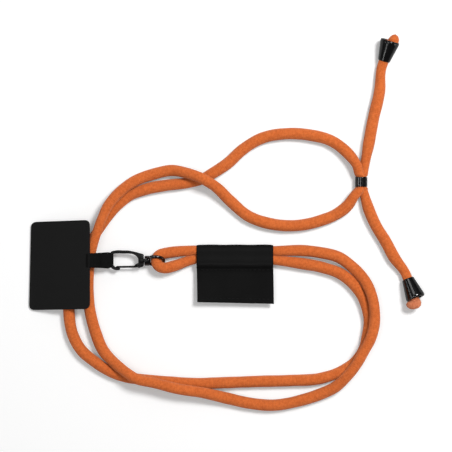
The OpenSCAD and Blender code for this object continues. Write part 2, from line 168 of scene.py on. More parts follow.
table_half = 4
table_corners = [(x * table_half, y * table_half, 0) for x, y in ((-1, -1), (1, -1), (1, 1), (-1, 1))]
table_mesh = bpy.data.meshes.new("table")
table_mesh.from_pydata(table_corners, [], [(0, 1, 2, 3)])
table = bpy.data.objects.new("table", table_mesh)
bpy.context.scene.collection.objects.link(table)
white, tree, shader = finish_of("table_white", {"Roughness": 0.9, "Specular IOR Level": 0.0,
                                                "Emission Color": (1, 1, 1, 1)})
path, seen = looked_at(tree)
# The table glows a little where it is looked at, more and more away from its middle, so that it
# stays white where the lamps no longer reach. It is mirrored as grey.
place = node(tree, "TexCoord").outputs["Object"]
away = node(tree, "VectorMath", {0: place}, operation="LENGTH").outputs["Value"]
glow = node(tree, "MapRange", {"Value": away, "From Min": 0.25, "From Max": 1.3, "To Min": 0.16})
tree.links.new(maths(tree, "MULTIPLY", seen, glow.outputs[0]), shader.inputs["Emission Strength"])
tree.links.new(blended(tree, path.outputs["Is Glossy Ray"], grey(0.93), grey(0.42)),
               shader.inputs["Base Color"])
table_mesh.materials.append(white)


# ------------------------ rope
# One soft round rope of orange polyester knit, 1.6 m long. It leaves the upper bell, turns
# round itself in the slider ring, runs through the sleeve and the swivel eye and back, and
# ends in the lower bell. It lies on the table, and climbs where it crosses itself.

rope_radius = 0.00375
# The centre line in metres: (x, y) where the rope lies on the table at its full size, and elsewhere
# also the height of its middle and the share of its radius that it keeps
rope_points = [
    (0.1103, 0.0849, 0.0056, 0.7), (0.108, 0.0774, 0.00407, 0.92), (0.10685, 0.07365, 0.0034, 0.9),
    (0.1053, 0.0568), (0.101, 0.038), (0.0976, 0.0195), (0.0959, 0.0105, 0.0034, 0.9),
    (0.0948, 0.005, 0.003, 0.72),
    # half a turn round the other strand inside the ring
    (0.0938, -0.0005, 0.003, 0.4), (0.0926, -0.003, 0.0025, 0.4), (0.0914, -0.0055, 0.003, 0.4),
    (0.0909, -0.008, 0.0042, 0.4), (0.0912, -0.0105, 0.0054, 0.4), (0.0878, -0.015, 0.0064, 0.77),
    (0.083, -0.022, 0.0048, 1),
    # lower arc of the neck loop
    (0.0753, -0.0278), (0.0656, -0.0318), (0.05, -0.0354), (0.0306, -0.0345), (0.015, -0.0292),
    (0.002, -0.0184, 0.004, 1),
    # over the upper strand
    (-0.0075, -0.0092, 0.0074, 0.97), (-0.0168, -0.0035, 0.0112, 0.96), (-0.0275, 0.0004, 0.0087, 0.96),
    (-0.038, 0.0024, 0.0048, 1), (-0.051, -0.0002, 0.0044, 1), (-0.064, -0.0052, 0.0067, 0.97),
    (-0.075, -0.0137, 0.0086, 0.95),
    # down the left side, over its twin and then under the pad
    (-0.0818, -0.0222, 0.0098, 0.93), (-0.0862, -0.0317, 0.0104, 0.91), (-0.0892, -0.04, 0.0106, 0.9),
    (-0.0918, -0.0476, 0.0099, 0.9), (-0.0938, -0.0552, 0.0079, 0.92), (-0.0953, -0.0634, 0.0048, 1),
    (-0.096, -0.076), (-0.095, -0.092), (-0.091, -0.1085), (-0.0851, -0.1223, 0.0042, 1),
    # along the bottom, lying on its twin at the left
    (-0.077, -0.1306, 0.0066, 0.97), (-0.0705, -0.1355, 0.0096, 0.94), (-0.0625, -0.1406, 0.011, 0.95),
    (-0.0503, -0.1434, 0.011, 0.95), (-0.033, -0.1478, 0.0104, 0.96), (-0.0165, -0.1505, 0.0086, 0.98),
    (0, -0.1547, 0.0046, 1), (0.016, -0.1583), (0.032, -0.1596), (0.05, -0.1565),
    (0.0648, -0.1517, 0.0042, 1), (0.0745, -0.1468, 0.0064, 1),
    # up the right side, lying on its twin
    (0.0823, -0.1392, 0.0096, 0.96), (0.089, -0.1305, 0.0109, 0.96), (0.094, -0.1218, 0.0109, 0.96),
    (0.0984, -0.1135, 0.0109, 0.96), (0.1009, -0.105, 0.0105, 0.96), (0.1014, -0.095, 0.0101, 0.96),
    (0.1002, -0.0865, 0.0097, 0.96), (0.0976, -0.0786, 0.0081, 0.98), (0.093, -0.071, 0.0052, 1),
    (0.0865, -0.0642), (0.0775, -0.0577), (0.064, -0.0542), (0.05, -0.0528),
    # through the sleeve, round the swivel eye and back through the sleeve
    (0.038, -0.053, 0.00425, 0.92), (-0.027, -0.053, 0.00425, 0.92), (-0.0365, -0.0538, 0.0039, 0.98),
    (-0.0435, -0.0549, 0.0039, 0.98), (-0.0461, -0.0556, 0.0042, 0.98), (-0.048, -0.0574, 0.0048, 0.98),
    (-0.0487, -0.0598, 0.0057, 0.98), (-0.048, -0.0622, 0.0066, 0.98), (-0.0461, -0.064, 0.0072, 0.98),
    (-0.0435, -0.0647, 0.0075, 0.98), (-0.0365, -0.0634, 0.006, 0.98), (-0.027, -0.06, 0.00425, 0.92),
    (0.038, -0.06, 0.00425, 0.92),
    # down the right side, underneath
    (0.05, -0.0616), (0.0662, -0.0646), (0.0787, -0.0691), (0.0875, -0.0762), (0.0933, -0.084),
    (0.0968, -0.093), (0.098, -0.102, 0.0036, 0.96), (0.0967, -0.1114, 0.0036, 0.96),
    (0.0946, -0.1205, 0.0036, 0.96), (0.0893, -0.1288, 0.0036, 0.96), (0.0795, -0.1358, 0.0036, 0.96),
    # along the bottom, underneath
    (0.065, -0.141), (0.044, -0.1426), (0.022, -0.1432), (0, -0.144), (-0.02, -0.1445, 0.0036, 0.96),
    (-0.04, -0.1434, 0.0036, 0.96), (-0.056, -0.142, 0.0036, 0.96), (-0.07, -0.1402, 0.0036, 0.96),
    (-0.081, -0.1362, 0.0036, 0.96),
    # up the left side and under the pad
    (-0.091, -0.1298), (-0.1006, -0.1215), (-0.1066, -0.1105), (-0.109, -0.097), (-0.1086, -0.082),
    (-0.106, -0.068), (-0.1015, -0.0563), (-0.0965, -0.0488, 0.0035, 0.93), (-0.0912, -0.0422, 0.0034, 0.9),
    (-0.0865, -0.0355, 0.0034, 0.9), (-0.081, -0.028, 0.0034, 0.9), (-0.074, -0.0204, 0.0035, 0.93),
    (-0.0665, -0.0146, 0.0036, 0.95),
    # under the crossing and round the upper arc of the neck loop
    (-0.056, -0.0105), (-0.042, -0.0078), (-0.028, -0.0062, 0.0036, 0.96), (-0.0178, -0.0037, 0.0036, 0.96),
    (-0.0085, 0.0014), (0.0005, 0.0074), (0.0112, 0.0172), (0.0242, 0.0248), (0.0405, 0.0278),
    (0.057, 0.0269), (0.0719, 0.0229), (0.083, 0.0146, 0.0046, 1), (0.0896, 0.0055, 0.0065, 0.77),
    # the other half turn inside the slider ring, and down to the lower bell
    (0.0914, -0.0005, 0.0054, 0.4), (0.0926, -0.003, 0.0059, 0.4), (0.0938, -0.0055, 0.0054, 0.4),
    (0.0943, -0.008, 0.0042, 0.4), (0.0939, -0.0105, 0.003, 0.4), (0.0952, -0.0155, 0.0032, 0.77),
    (0.0978, -0.0242), (0.103, -0.036), (0.1093, -0.0463), (0.1154, -0.0576),
    (0.1233, -0.06875, 0.0034, 0.9), (0.12475, -0.0724, 0.00407, 0.92), (0.12765, -0.0797, 0.0056, 0.7),
]
rope_route = np.array([(*point, rope_radius, 1)[:4] for point in rope_points])


def unit(vectors):
    """Each vector, one to a row, at length 1."""
    return vectors / np.linalg.norm(vectors, axis=-1, keepdims=True)


def smooth_line(points, step):
    """A smooth line through the points, resampled about every step metres. Between two points it is a
    cubic whose end slopes are the neighbouring chords' slopes, weighted by how near each chord is."""
    chord = np.linalg.norm(np.diff(points[:, :3], axis=0), axis=1)
    at = np.concatenate([[0], np.cumsum(chord)])
    slope = np.diff(points, axis=0) / chord[:, None]
    before, after = chord[:-1, None], chord[1:, None]
    inner = (slope[:-1] * after + slope[1:] * before) / (before + after)
    ends = np.vstack([slope[:1], inner, slope[-1:]])
    where = np.linspace(0, at[-1], int(at[-1] / step) + 2)
    i = np.clip(np.searchsorted(at, where, side="right") - 1, 0, len(chord) - 1)
    t = ((where - at[i]) / chord[i])[:, None]
    h = chord[i][:, None]
    return ((2 * t**3 - 3 * t**2 + 1) * points[i] + (t**3 - 2 * t**2 + t) * h * ends[i]
            + (3 * t**2 - 2 * t**3) * points[i + 1] + (t**3 - t**2) * h * ends[i + 1])


def far_along(line):
    """How far along the line each of its points is."""
    return np.concatenate([[0], np.cumsum(np.linalg.norm(np.diff(line, axis=0), axis=1))])


def carried(line, section, up=(0, 0, 1)):
    """Rows of points: the flat section, given as (across, up) pairs for each point of the line or once
    for all, stood square to the line at each of its points."""
    heading = unit(np.gradient(line, axis=0))
    across = unit(np.cross(np.broadcast_to(up, heading.shape), heading))
    upward = np.cross(heading, across)
    section = np.broadcast_to(section, (len(line), *np.shape(section)[-2:]))
    return line[:, None] + section[..., :1] * across[:, None] + section[..., 1:] * upward[:, None]


def round_section(sides):
    """A circle of radius 1 as (across, up) pairs."""
    angle = np.arange(sides) * 2 * np.pi / sides
    return np.stack([np.cos(angle), np.sin(angle)], axis=1)


def shell(grid, closed_rows=False, length_step=1.0):
    """A closed surface over a grid of points, (rows, columns, 3), whose columns run all the way round.
    Its first and last rows are capped, or joined to each other. Its map gives how far round a point
    is, from 0 to 1, and how far along, in rows times length_step. Faces point outwards."""
    rows, columns = grid.shape[:2]
    row, column = np.meshgrid(np.arange(rows if closed_rows else rows - 1), np.arange(columns), indexing="ij")
    corner_rows = np.stack([row, row, row + 1, row + 1], axis=-1).reshape(-1, 4)
    corner_columns = np.stack([column, column + 1, column + 1, column], axis=-1).reshape(-1, 4)
    faces = (corner_rows % rows) * columns + corner_columns % columns
    uv = np.stack([corner_columns / columns, corner_rows * length_step], axis=-1).reshape(-1, 2)
    points = grid.reshape(-1, 3)
    middle = points.mean(0)
    a, b, c = (points[faces[:, k]] - middle for k in range(3))
    d = points[faces[:, 3]] - middle
    inside_out = (np.cross(a, b) * c).sum() + (np.cross(a, c) * d).sum() < 0
    faces = faces.tolist()
    if not closed_rows:
        faces += [list(range(columns))[::-1], list(range((rows - 1) * columns, rows * columns))]
        uv = np.vstack([uv, np.zeros((2 * columns, 2))])
    return points, faces, uv, inside_out


def piece(name, material, *shells):
    """One object at the origin, made of closed shells, with smooth faces and the map named lay."""
    points, faces, uv = [], [], []
    for shell_points, shell_faces, shell_uv, inside_out in shells:
        start = sum(map(len, points))
        corners = np.split(shell_uv, np.cumsum([len(face) for face in shell_faces])[:-1])
        turn = -1 if inside_out else 1
        faces += [[start + corner for corner in face[::turn]] for face in shell_faces]
        uv += [pair[::turn] for pair in corners]
        points.append(shell_points)
    mesh = bpy.data.meshes.new(name)
    mesh.from_pydata(np.vstack(points), [], faces)
    mesh.uv_layers.new(name="lay").data.foreach_set("uv", np.vstack(uv).astype(np.float32).ravel())
    mesh.polygons.foreach_set("use_smooth", np.ones(len(faces), bool))
    mesh.materials.append(material)
    mesh.update()
    made = bpy.data.objects.new(name, mesh)
    bpy.context.scene.collection.objects.link(made)
    return made


def knit(name, wales, pitch, shaded_hollow_colour, crown_colour, faded_colour):
    """Soft knit: columns of V stitches, wales of them round the rope and one each pitch along it, with
    a felted bloom over them, small flecks and slow changes of shade. The stitch hollows are painted
    darker than their crowns, as painted shade."""
    material, tree, shader = finish_of(name, {"Roughness": 0.86, "Specular IOR Level": 0.25,
                                              "Sheen Weight": 0.3, "Sheen Roughness": 0.45,
                                              "Sheen Tint": (1, 0.62, 0.42, 1)})
    lay = node(tree, "UVMap", uv_map="lay")
    split = node(tree, "SeparateXYZ", {0: lay.outputs[0]})
    around = maths(tree, "MULTIPLY", split.outputs[0], wales)
    arm = maths(tree, "ABSOLUTE", maths(tree, "SUBTRACT", maths(tree, "FRACT", around), 0.5))
    slant = maths(tree, "MULTIPLY", arm, 1.3)
    along = maths(tree, "ADD", maths(tree, "DIVIDE", split.outputs[1], pitch), slant)
    stitch = maths(tree, "SINE", maths(tree, "MULTIPLY", maths(tree, "FRACT", along), np.pi))
    leg = maths(tree, "FRACT", maths(tree, "MULTIPLY", around, 2))
    column = maths(tree, "SINE", maths(tree, "MULTIPLY", leg, np.pi))
    height = maths(tree, "SQRT", maths(tree, "MULTIPLY", stitch, column))
    place = node(tree, "TexCoord").outputs["Object"]
    bloom = noise(tree, place, 2600, 4, 0.7)
    shade = noise(tree, place, 90, 3, 0.6)
    fleck = noise(tree, place, 620, 3, 0.6)
    sharper = node(tree, "MapRange", {"Value": fleck, "From Min": 0.35, "From Max": 0.65}).outputs[0]
    paler = maths(tree, "ADD", maths(tree, "MULTIPLY", shade, 0.35), maths(tree, "MULTIPLY", sharper, 0.5))
    pile = maths(tree, "ADD", height, maths(tree, "MULTIPLY", bloom, 0.8))
    # Painted shade: the stitch hollows are coloured darker than the crowns
    stitched = blended(tree, height, shaded_hollow_colour, crown_colour)
    faded = blended(tree, paler, stitched, faded_colour)
    # Light that has left the rope is dulled, so that it barely colours the white table
    soaked = maths(tree, "MULTIPLY", node(tree, "LightPath").outputs["Is Diffuse Ray"], 0.75)
    tree.links.new(blended(tree, soaked, faded, (0.30, 0.24, 0.20, 1)), shader.inputs["Base Color"])
    bumped(tree, shader, 0.75, 0.00022, pile)
    return material


def pressed_flat(grid, line, radii, apart):
    """The rope's rows after its own strands have pressed on each other. Where two stretches touch that
    are further than apart from each other along the rope, no point of one passes the plane between
    them, which splits their distance as their radii do."""
    along = far_along(line)
    offset = line[None] - line[:, None]
    distance = np.linalg.norm(offset, axis=-1)
    distance[np.abs(along[None] - along[:, None]) < apart] = beyond
    other = distance.argmin(1)
    rows = np.arange(len(line))
    gap = distance[rows, other]
    towards = unit(offset[rows, other])
    limit = np.where(gap < radii + radii[other], gap * radii / (radii + radii[other]) - 0.00002, beyond)
    reach = ((grid - line[:, None]) * towards[:, None]).sum(-1)
    over = np.maximum(reach - limit[:, None], 0)
    return grid - over[..., None] * towards[:, None]


rope_step = 0.0011
rope_sides = 44
# Further than any two points of the rope are from each other
beyond = 1
ring_low, ring_high = (np.array(corner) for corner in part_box("slider_ring"))
ring_centre = (ring_low + ring_high) / 2
ring_half = (ring_high[1] - ring_low[1]) / 2
ring_outer = (ring_high[0] - ring_low[0]) / 2
ring_wall = 0.0009
ring_bore = ring_outer - ring_wall
nip_reach = 0.013

rope_knots = rope_route.copy()
rope_knots[:, 3] = np.maximum(rope_knots[:, 3], 0.9)
rope_dense = smooth_line(rope_knots, rope_step)
rope_line = rope_dense[:, :3]
# It is a little fuller where nothing holds it
rope_radii = rope_dense[:, 3] * rope_radius * (1 + 0.65 * (rope_dense[:, 3] - 0.92))
turn = np.arange(rope_sides) * 2 * np.pi / rope_sides
run = np.arange(len(rope_line)) * rope_step
uneven = 1 + 0.010 * np.sin(run / 0.0052)[:, None] + 0.008 * np.sin(run / 0.0021 + 1.3)[:, None] \
    + 0.010 * np.cos(2 * turn[None] + run[:, None] / 0.009)
rope_grid = carried(rope_line, rope_radii[:, None, None] * uneven[..., None] * round_section(rope_sides))
rope_grid = pressed_flat(rope_grid, rope_line, rope_radii, apart=0.02)
# The slider ring nips both strands into its bore, and they swell out of it again on both sides
past_mouth = np.maximum(np.abs(rope_grid[..., 1] - ring_centre[1]) - ring_half, 0)
from_axis = rope_grid - ring_centre
from_axis[..., 1] = 0
away = np.linalg.norm(from_axis, axis=-1)
room = ring_bore - 0.0001 + 1.5 * past_mouth
room[np.linalg.norm(rope_line - ring_centre, axis=1) >= nip_reach] = beyond
rope_grid -= from_axis * (1 - np.minimum(room / np.maximum(away, 1e-9), 1))[..., None]
# It never goes below the table, so that its underside is a little flat where it lies
rope_grid[..., 2] = np.maximum(rope_grid[..., 2], 0.00005)

knit_wales = 16
knit_pitch = 0.0013
orange_knit = knit("orange_knit", knit_wales, knit_pitch,
                   (0.475, 0.078, 0.0086, 1), (0.665, 0.135, 0.022, 1), (0.875, 0.211, 0.046, 1))
rope = piece("knit_rope", orange_knit, shell(rope_grid, length_step=rope_step))
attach(rope, "rope")
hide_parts("rope")


# ------------------------ end knots
# Each end of the rope is tied in a tight knot inside its bell, so that the bell can't slip off.
# The upper knot's cut end stands out of the bell; the lower knot's own loop bulges out of it.

knot_step = 0.0006


def bell_place(neck_point, joint_name):
    """Where a bell's neck is, the way its axis points, and the two directions square to it."""
    axis = -unit(np.array(joints[joint_name]["axis"]))
    aside = unit(np.cross(axis, (0, 0, 1)))
    return neck_point[:3], axis, aside, np.cross(aside, axis)


def knot(place, turns, radius, blunt):
    """A short smooth tube through turns, (along the bell, aside, up) from its neck. Its end is rounded
    over the share of its length given by blunt."""
    neck, axis, aside, up = place
    line = smooth_line(np.array(turns), knot_step)
    share = np.linspace(0, 1, len(line))
    taper = (1.0005 - np.clip((share - 1 + blunt) / blunt, 0, 1)**1.7)**0.55
    taper = taper * np.clip((share + 0.03) / 0.06, 0, 1)
    world_line = neck + line[:, :1] * axis + line[:, 1:2] * aside + line[:, 2:] * up
    # A direction that no stretch of either knot runs along
    never = up + 0.31 * axis
    grid = carried(world_line, (radius * taper)[:, None, None] * round_section(32), up=never)
    grid[..., 2] = np.maximum(grid[..., 2], 0.0001)
    return shell(grid, length_step=knot_step)


bells = {
    "a": bell_place(rope_route[1], "bell_upper_slide"),
    "b": bell_place(rope_route[-2], "bell_lower_slide"),
}
upper_knot = piece("upper_knot", orange_knit, knot(bells["a"], [
    (0.0072, 0, 0), (0.0095, 0.0010, 0.0010), (0.0110, 0.0002, 0.0020), (0.0118, -0.0014, 0.0010),
    (0.0114, -0.0016, -0.0014), (0.0104, 0.0006, -0.0018), (0.0120, 0.0018, -0.0004),
    (0.0150, 0.0021, 0.0006), (0.0174, 0.0022, 0.0006), (0.0204, 0.0020, 0.0006),
], radius=0.0037, blunt=0.2))
# The lower knot's loop is stretched, and so a little paler and pinker than the rope
pink_knit = knit("pink_knit", knit_wales, knit_pitch,
                 (0.50, 0.11, 0.035, 1), (0.70, 0.20, 0.085, 1), (0.84, 0.30, 0.15, 1))
lower_knot = piece("lower_knot", pink_knit, knot(bells["b"], [
    (0.0072, 0, 0), (0.0100, 0.0004, 0.0004), (0.0140, 0.0016, -0.0004), (0.0166, 0.0006, -0.0008),
    (0.0182, 0.0008, 0), (0.0182, 0.0028, 0.0002), (0.0172, 0.0054, 0), (0.0158, 0.0078, 0),
], radius=0.0031, blunt=0.22))
for made, cad_knot in ((upper_knot, "end_knot_a"), (lower_knot, "end_knot_b")):
    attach(made, "rope")
    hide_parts(cad_knot)


# ------------------------ bell stoppers
# Two bell-shaped stoppers, injection moulded in glossy black plastic. The rope goes in at the
# narrow neck, and its knot sits in the wide mouth.

def rounded(corners, radii, steps=5):
    """A closed outline whose corners are each replaced by a parabola that starts and ends that corner's
    radius away from it, with one more point beyond on either side to keep the flats flat."""
    corners = np.array(corners, float)
    radii = np.broadcast_to(radii, len(corners))[:, None]
    before = unit(np.roll(corners, 1, axis=0) - corners)
    after = unit(np.roll(corners, -1, axis=0) - corners)
    t = np.linspace(0, 1, steps)[:, None, None]
    bend = (1 - t)**2 * (corners + before * radii) + 2 * t * (1 - t) * corners \
        + t**2 * (corners + after * radii)
    flat_before, flat_after = corners + before * radii * 1.5, corners + after * radii * 1.5
    whole = np.concatenate([flat_before[None], bend, flat_after[None]])
    return whole.transpose(1, 0, 2).reshape(-1, 2)


def turned(outline, centre, axis, sides=72):
    """A ring-shaped shell: the closed outline, (radius, along) pairs, spun round the axis."""
    axis = unit(np.array(axis, float))
    off_axis = (0.3, 0.2, 0.9)
    first = unit(np.cross(axis, off_axis))
    second = np.cross(axis, first)
    angle = np.arange(sides) * 2 * np.pi / sides
    spoke = np.cos(angle)[:, None] * first + np.sin(angle)[:, None] * second
    outline = np.array(outline)
    grid = centre + outline[None, :, :1] * spoke[:, None] + outline[None, :, 1:] * axis
    return shell(grid, closed_rows=True)


def handling_marks():
    """Node group: fine scratches, a dust film and slow patches on a hard surface. Dull is 0 where it is
    clean and 1 where it is rubbed; Height is for a bump."""
    group = bpy.data.node_groups.new("handling_marks", "ShaderNodeTree")
    for name in ("Dull", "Height"):
        group.interface.new_socket(name, in_out="OUTPUT", socket_type="NodeSocketFloat")
    outlet = group.nodes.new("NodeGroupOutput")
    place = node(group, "TexCoord").outputs["Object"]
    drawn = node(group, "Mapping", {"Vector": place, "Scale": (900, 5200, 5200), "Rotation": (0.3, 0.2, 0.9)})
    scratch = maths(group, "POWER", noise(group, drawn.outputs[0], 1), 6)
    dust = noise(group, place, 700, 6, 0.75)
    patch = noise(group, place, 110)
    dull = maths(group, "ADD", maths(group, "MULTIPLY", scratch, 2.2), maths(group, "MULTIPLY", dust, patch))
    group.links.new(maths(group, "MINIMUM", dull, 1), outlet.inputs["Dull"])
    relief = maths(group, "SUBTRACT", maths(group, "MULTIPLY", dust, 0.4), scratch)
    group.links.new(relief, outlet.inputs["Height"])
    return group


marks = handling_marks()


def marked(name, clean, rubbed, roughness, rougher, depth, feeds):
    """A hard finish that goes from its clean colour and roughness to its rubbed ones where it is handled."""
    material, tree, shader = finish_of(name, feeds)
    worn = node(tree, "Group", node_tree=marks)
    tree.links.new(blended(tree, worn.outputs["Dull"], clean, rubbed), shader.inputs["Base Color"])
    level = node(tree, "MapRange", {"Value": worn.outputs["Dull"], "To Min": roughness, "To Max": rougher})
    tree.links.new(level.outputs[0], shader.inputs["Roughness"])
    bumped(tree, shader, 0.3, depth, worn.outputs["Height"])
    return material


gloss_black = marked("gloss_black_plastic", (0.0010, 0.0010, 0.0012, 1), (0.004, 0.004, 0.0044, 1),
                     roughness=0.14, rougher=0.28, depth=0.00002,
                     feeds={"Specular IOR Level": 0.5, "Coat Weight": 0.3, "Coat Roughness": 0.09})

bell_length = 0.0147
bell_mouth = 0.0067
bell_neck = 0.0041
bell_bore = 0.00365
bell_inner = 0.0053
bell_outline = rounded([
    (bell_bore, 0), (bell_neck, 0), (bell_mouth, bell_length - 0.0014), (bell_mouth - 0.0004, bell_length),
    (bell_inner, bell_length), (bell_inner, bell_length - 0.0042), (bell_bore, 0.0014),
], [0.0002, 0.0004, 0.0007, 0.0004, 0.0003, 0.0008, 0.0006])
# The upper bell sits a little further out on the rope
for side, body, further in (("a", "bell_upper", 0.0006), ("b", "bell_lower", 0)):
    neck, axis = bells[side][:2]
    bell = piece("stopper_" + side, gloss_black, turned(bell_outline, neck + further * axis, axis))
    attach(bell, body)
    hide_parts("bell_" + side)


# ------------------------ slider ring
# A short glossy black tube that nips the rope's two strands side by side. It sets the length
# of the strap by friction alone.

ring_outline = rounded([(ring_bore, -ring_half), (ring_outer, -ring_half), (ring_outer, ring_half),
                        (ring_bore, ring_half)], 0.0003)
slider = piece("slider_tube", gloss_black, turned(ring_outline, ring_centre, (0, 1, 0)))
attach(slider, "slider")
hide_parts("slider_ring")


# ------------------------ sleeve
# One piece of thin black leatherette folded round both strands. Its two layers are sewn to
# each other below the strands and again near their free edges, and hang down as a flap.

sleeve_low, sleeve_high = (np.array(corner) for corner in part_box("sleeve_wrap"))
sleeve_thick = 0.0007
sleeve_half = (sleeve_high[0] - sleeve_low[0]) / 2
sleeve_middle = (sleeve_high[0] + sleeve_low[0]) / 2
tunnel_top = sleeve_high[2] - sleeve_thick / 2
tunnel_radius = tunnel_top / 2 - sleeve_thick / 4
strands_apart = 0.007
upper_y = sleeve_high[1] - sleeve_thick / 2 - tunnel_radius
lower_y = upper_y - strands_apart
seam_y = lower_y - tunnel_radius - 0.0006
low_y = sleeve_low[1]
hem_y = low_y + 0.003


def band(line, across, half_widths, thickness, columns):
    """A strip of even thickness laid along a line, with rounded long edges: a flat section with its top
    and bottom faces split into columns."""
    over = np.linspace(-1, 1, columns)
    lift = np.sqrt(np.clip(1 - np.abs(over)**24, 0, 1))
    section = np.concatenate([np.stack([over, lift], 1), np.stack([over, -lift], 1)[-2:0:-1]])
    heading = unit(np.gradient(line, axis=0))
    normal = unit(np.cross(heading, across))
    wide = np.broadcast_to(half_widths, len(line))[:, None, None]
    return (line[:, None] + section[:, :1] * wide * np.array(across)
            + section[:, 1:] * thickness / 2 * normal[:, None])


def leatherette(name, colour, dust_and_top_light_colour, roughness, grain_scale, depth, specular, top_light_share=0.0):
    """Coated cloth with a fine pebble grain, slightly dustier and paler in slow patches. Where it stands
    high over the strands it is painted paler, by up to the last share given: painted light on its top."""
    material, tree, shader = finish_of(name, {"Specular IOR Level": specular})
    grained = node(tree, "Group", {"Scale": grain_scale}, node_tree=grain)
    high = node(tree, "SeparateXYZ", {0: node(tree, "TexCoord").outputs["Object"]}).outputs[2]
    # Painted light: the cloth is painted paler where it stands high over the strands, as if its top caught the
    # lamp
    painted_top_light = node(tree, "MapRange", {"Value": high, "From Min": 0.006, "From Max": 0.0085, "To Max": top_light_share})
    paler = maths(tree, "ADD", grained.outputs["Patches"], painted_top_light.outputs[0])
    tree.links.new(blended(tree, paler, colour, dust_and_top_light_colour), shader.inputs["Base Color"])
    level = node(tree, "MapRange", {"Value": grained.outputs["Patches"], "To Min": roughness - 0.06,
                                    "To Max": roughness + 0.08})
    tree.links.new(level.outputs[0], shader.inputs["Roughness"])
    bumped(tree, shader, 0.55, depth, grained.outputs["Height"])
    return material


def fine_grain():
    """Node group: a pebble grain. Height is for a bump, and Patches goes slowly from 0 to 1."""
    group = bpy.data.node_groups.new("fine_grain", "ShaderNodeTree")
    group.interface.new_socket("Scale", in_out="INPUT", socket_type="NodeSocketFloat")
    for name in ("Height", "Patches"):
        group.interface.new_socket(name, in_out="OUTPUT", socket_type="NodeSocketFloat")
    inlet, outlet = group.nodes.new("NodeGroupInput"), group.nodes.new("NodeGroupOutput")
    place = node(group, "TexCoord").outputs["Object"]
    pebble = node(group, "TexVoronoi", {"Vector": place, "Scale": inlet.outputs[0]},
                  feature="SMOOTH_F1").outputs["Distance"]
    speck = noise(group, place, 3800, 3)
    patch = noise(group, place, 55, 4, 0.65)
    mottle = maths(group, "ADD", maths(group, "MULTIPLY", patch, 0.7), maths(group, "MULTIPLY", speck, 0.3))
    relief = maths(group, "SUBTRACT", maths(group, "MULTIPLY", speck, 0.35), pebble)
    group.links.new(relief, outlet.inputs["Height"])
    group.links.new(mottle, outlet.inputs["Patches"])
    return group


grain = fine_grain()
# The sleeve's top over the strands is painted paler: painted light
sleeve_black = leatherette("black_leatherette", grey(0.002), grey(0.0085),
                           roughness=0.62, grain_scale=1300, depth=0.0001, specular=0.04, top_light_share=0.5)
dip_y = lower_y - 0.0014


def flap_lift(side_share, y):
    """How far both layers stand off the table at a place y: the seam hangs near the strands' middle
    height, and from there the flap springs up a little towards its free edge, more so at the left."""
    risen = np.clip((dip_y - y) / (dip_y - seam_y), 0, 1)
    free = np.clip((seam_y - y) / (seam_y - low_y), 0, 1)
    return (0.0045 * risen**2 * (3 - 2 * risen) + 0.0008 * free * (1 - 0.4 * side_share)
            + 0.0005 * free**2 * np.abs(side_share)**5 + 0.00012 * free * np.sin(side_share * 4.3 + free * 5))


under = np.array([(sleeve_middle, y, sleeve_thick / 2) for y in np.linspace(low_y, upper_y, 24)])
swing = np.linspace(-np.pi / 2, np.pi / 2, 19)[1:-1]
over_top = np.stack([np.full(len(swing), sleeve_middle), upper_y + tunnel_radius * np.cos(swing),
                     sleeve_thick / 2 + tunnel_radius * (1 + np.sin(swing))], axis=1)
front = smooth_line(np.array([(sleeve_middle, y, z) for y, z in (
    (upper_y, tunnel_top), ((upper_y + lower_y) / 2, tunnel_top - 0.00028),
    (lower_y + 0.0002, tunnel_top - 0.00002),
    (lower_y - 0.0015, tunnel_top - 0.0003), (lower_y - 0.0030, tunnel_top - 0.0033),
    (lower_y - 0.0045, sleeve_thick * 2.9), (lower_y - 0.0060, sleeve_thick * 1.9),
    (lower_y - 0.0078, sleeve_thick * 1.5), (seam_y - 0.0055, sleeve_thick * 1.6),
    (hem_y + 0.004, sleeve_thick * 1.66), (hem_y, sleeve_thick * 1.5), (low_y, sleeve_thick * 1.56),
)]), 0.0006)
sleeve_line = np.vstack([under, over_top, front])
sleeve_grid = band(sleeve_line, (1, 0, 0), sleeve_half, sleeve_thick * 0.98, columns=65)
# The mouths of the tunnel gape a little, the top edge is not quite straight, and the flap hangs
# a little askew and off the table
flap_skew = 0.0006
side_share = (sleeve_grid[..., 0] - sleeve_middle) / sleeve_half
height_share = np.clip(sleeve_grid[..., 2] / tunnel_top, 0, 1)
flap_share = np.clip((seam_y - sleeve_grid[..., 1]) / (seam_y - low_y), 0, 1)
sleeve_grid[..., 2] += 0.00022 * height_share * (np.sin(side_share * 7.1 + 0.6) + side_share**6)
sleeve_grid[..., 2] += flap_lift(side_share, sleeve_grid[..., 1])
sleeve_grid[..., 0] += 0.0005 * flap_share**0.5 - 0.0003
sleeve_grid[..., 1] += 0.00016 * height_share * np.sin(side_share * 9.3 + 1.1) \
    - flap_skew * flap_share * side_share
sleeve_grid[..., 2] = np.maximum(sleeve_grid[..., 2], 0.00004)
sleeve = piece("leatherette_sleeve", sleeve_black, shell(sleeve_grid))

thread, tree, shader = finish_of("black_thread", {"Roughness": 0.7, "Specular IOR Level": 0.15})
place = node(tree, "TexCoord").outputs["Object"]
twist = node(tree, "TexWave", {"Vector": place, "Scale": 900, "Distortion": 1.5}, bands_direction="DIAGONAL")
tree.links.new(blended(tree, twist.outputs["Fac"], grey(0.003), grey(0.013)), shader.inputs["Base Color"])
bumped(tree, shader, 0.6, 0.00008, twist.outputs["Fac"])


